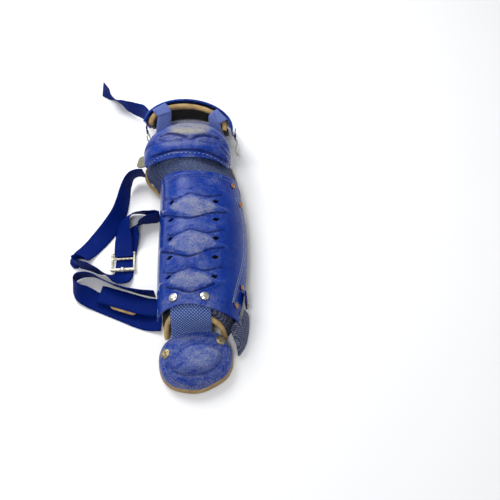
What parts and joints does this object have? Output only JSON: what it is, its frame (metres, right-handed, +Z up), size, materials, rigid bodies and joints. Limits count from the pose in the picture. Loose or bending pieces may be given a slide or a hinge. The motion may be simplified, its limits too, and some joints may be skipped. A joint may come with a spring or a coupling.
{
  "type": "catcher leg guard",
  "caption": "Catcher's leg guard with moulded shin, knee, toe and thigh shells over leather padding, laid on its back edges with its webbing straps spread to one side.",
  "frame": {"origin": "under the middle of the bounding box, on the floor that the guard rests on", "axes": "+Y along the shin from the toe to the thigh, +Z up through the outer face of the shin plate, +X to the right as seen from the toe"},
  "size_m": [0.31, 0.6226, 0.1219],
  "materials": {
    "blue_plastic": "glossy moulded shell, scuffed pale on the raised panels",
    "tan_leather": "smooth rolled leather",
    "cream_leather": "smooth, off-white",
    "grey_blue_cloth": "coarse woven nylon over padding",
    "blue_elastic": "woven elastic",
    "navy_webbing": "close woven webbing with a soft sheen",
    "copper": "dull copper rivets",
    "nickel": "worn nickel plating",
    "aged_brass": "dull, greenish brass",
    "cream_metal": "pale cast metal"
  },
  "bodies": {
    "root": {"shin_plate": "blue_plastic", "shin_liner": "tan_leather", "ankle_roll": "tan_leather", "ankle_wing": "grey_blue_cloth", "knee_cap": "blue_plastic", "toe_cap": "blue_plastic", "toe_pad": "tan_leather", "instep_band": "blue_elastic", "knee_band": "grey_blue_cloth", "knee_binding_left": "tan_leather", "knee_binding_right": "tan_leather", "thigh_plate": "blue_plastic", "thigh_pad": "tan_leather", "thigh_link_left": "blue_elastic", "thigh_link_right": "blue_elastic", "side_rivet_right_1": "copper", "side_rivet_right_2": "copper", "side_rivet_right_3": "copper", "side_rivet_right_4": "copper", "instep_rivet_left": "nickel", "instep_rivet_right": "nickel", "calf_strap": "navy_webbing", "ankle_strap": "navy_webbing", "ankle_strap_end": "navy_webbing", "thigh_strap": "navy_webbing", "ankle_end_leather": "tan_leather", "slide_buckle": "cream_metal", "toe_rivet_left": "aged_brass", "toe_rivet_right": "aged_brass", "knee_tab": "cream_leather", "ankle_tab": "navy_webbing", "ankle_tab_rivet": "aged_brass", "thigh_hook": "nickel", "thigh_hook_tab": "navy_webbing", "thigh_ring": "nickel", "thigh_ring_tab": "navy_webbing"}
  },
  "joints": []
}
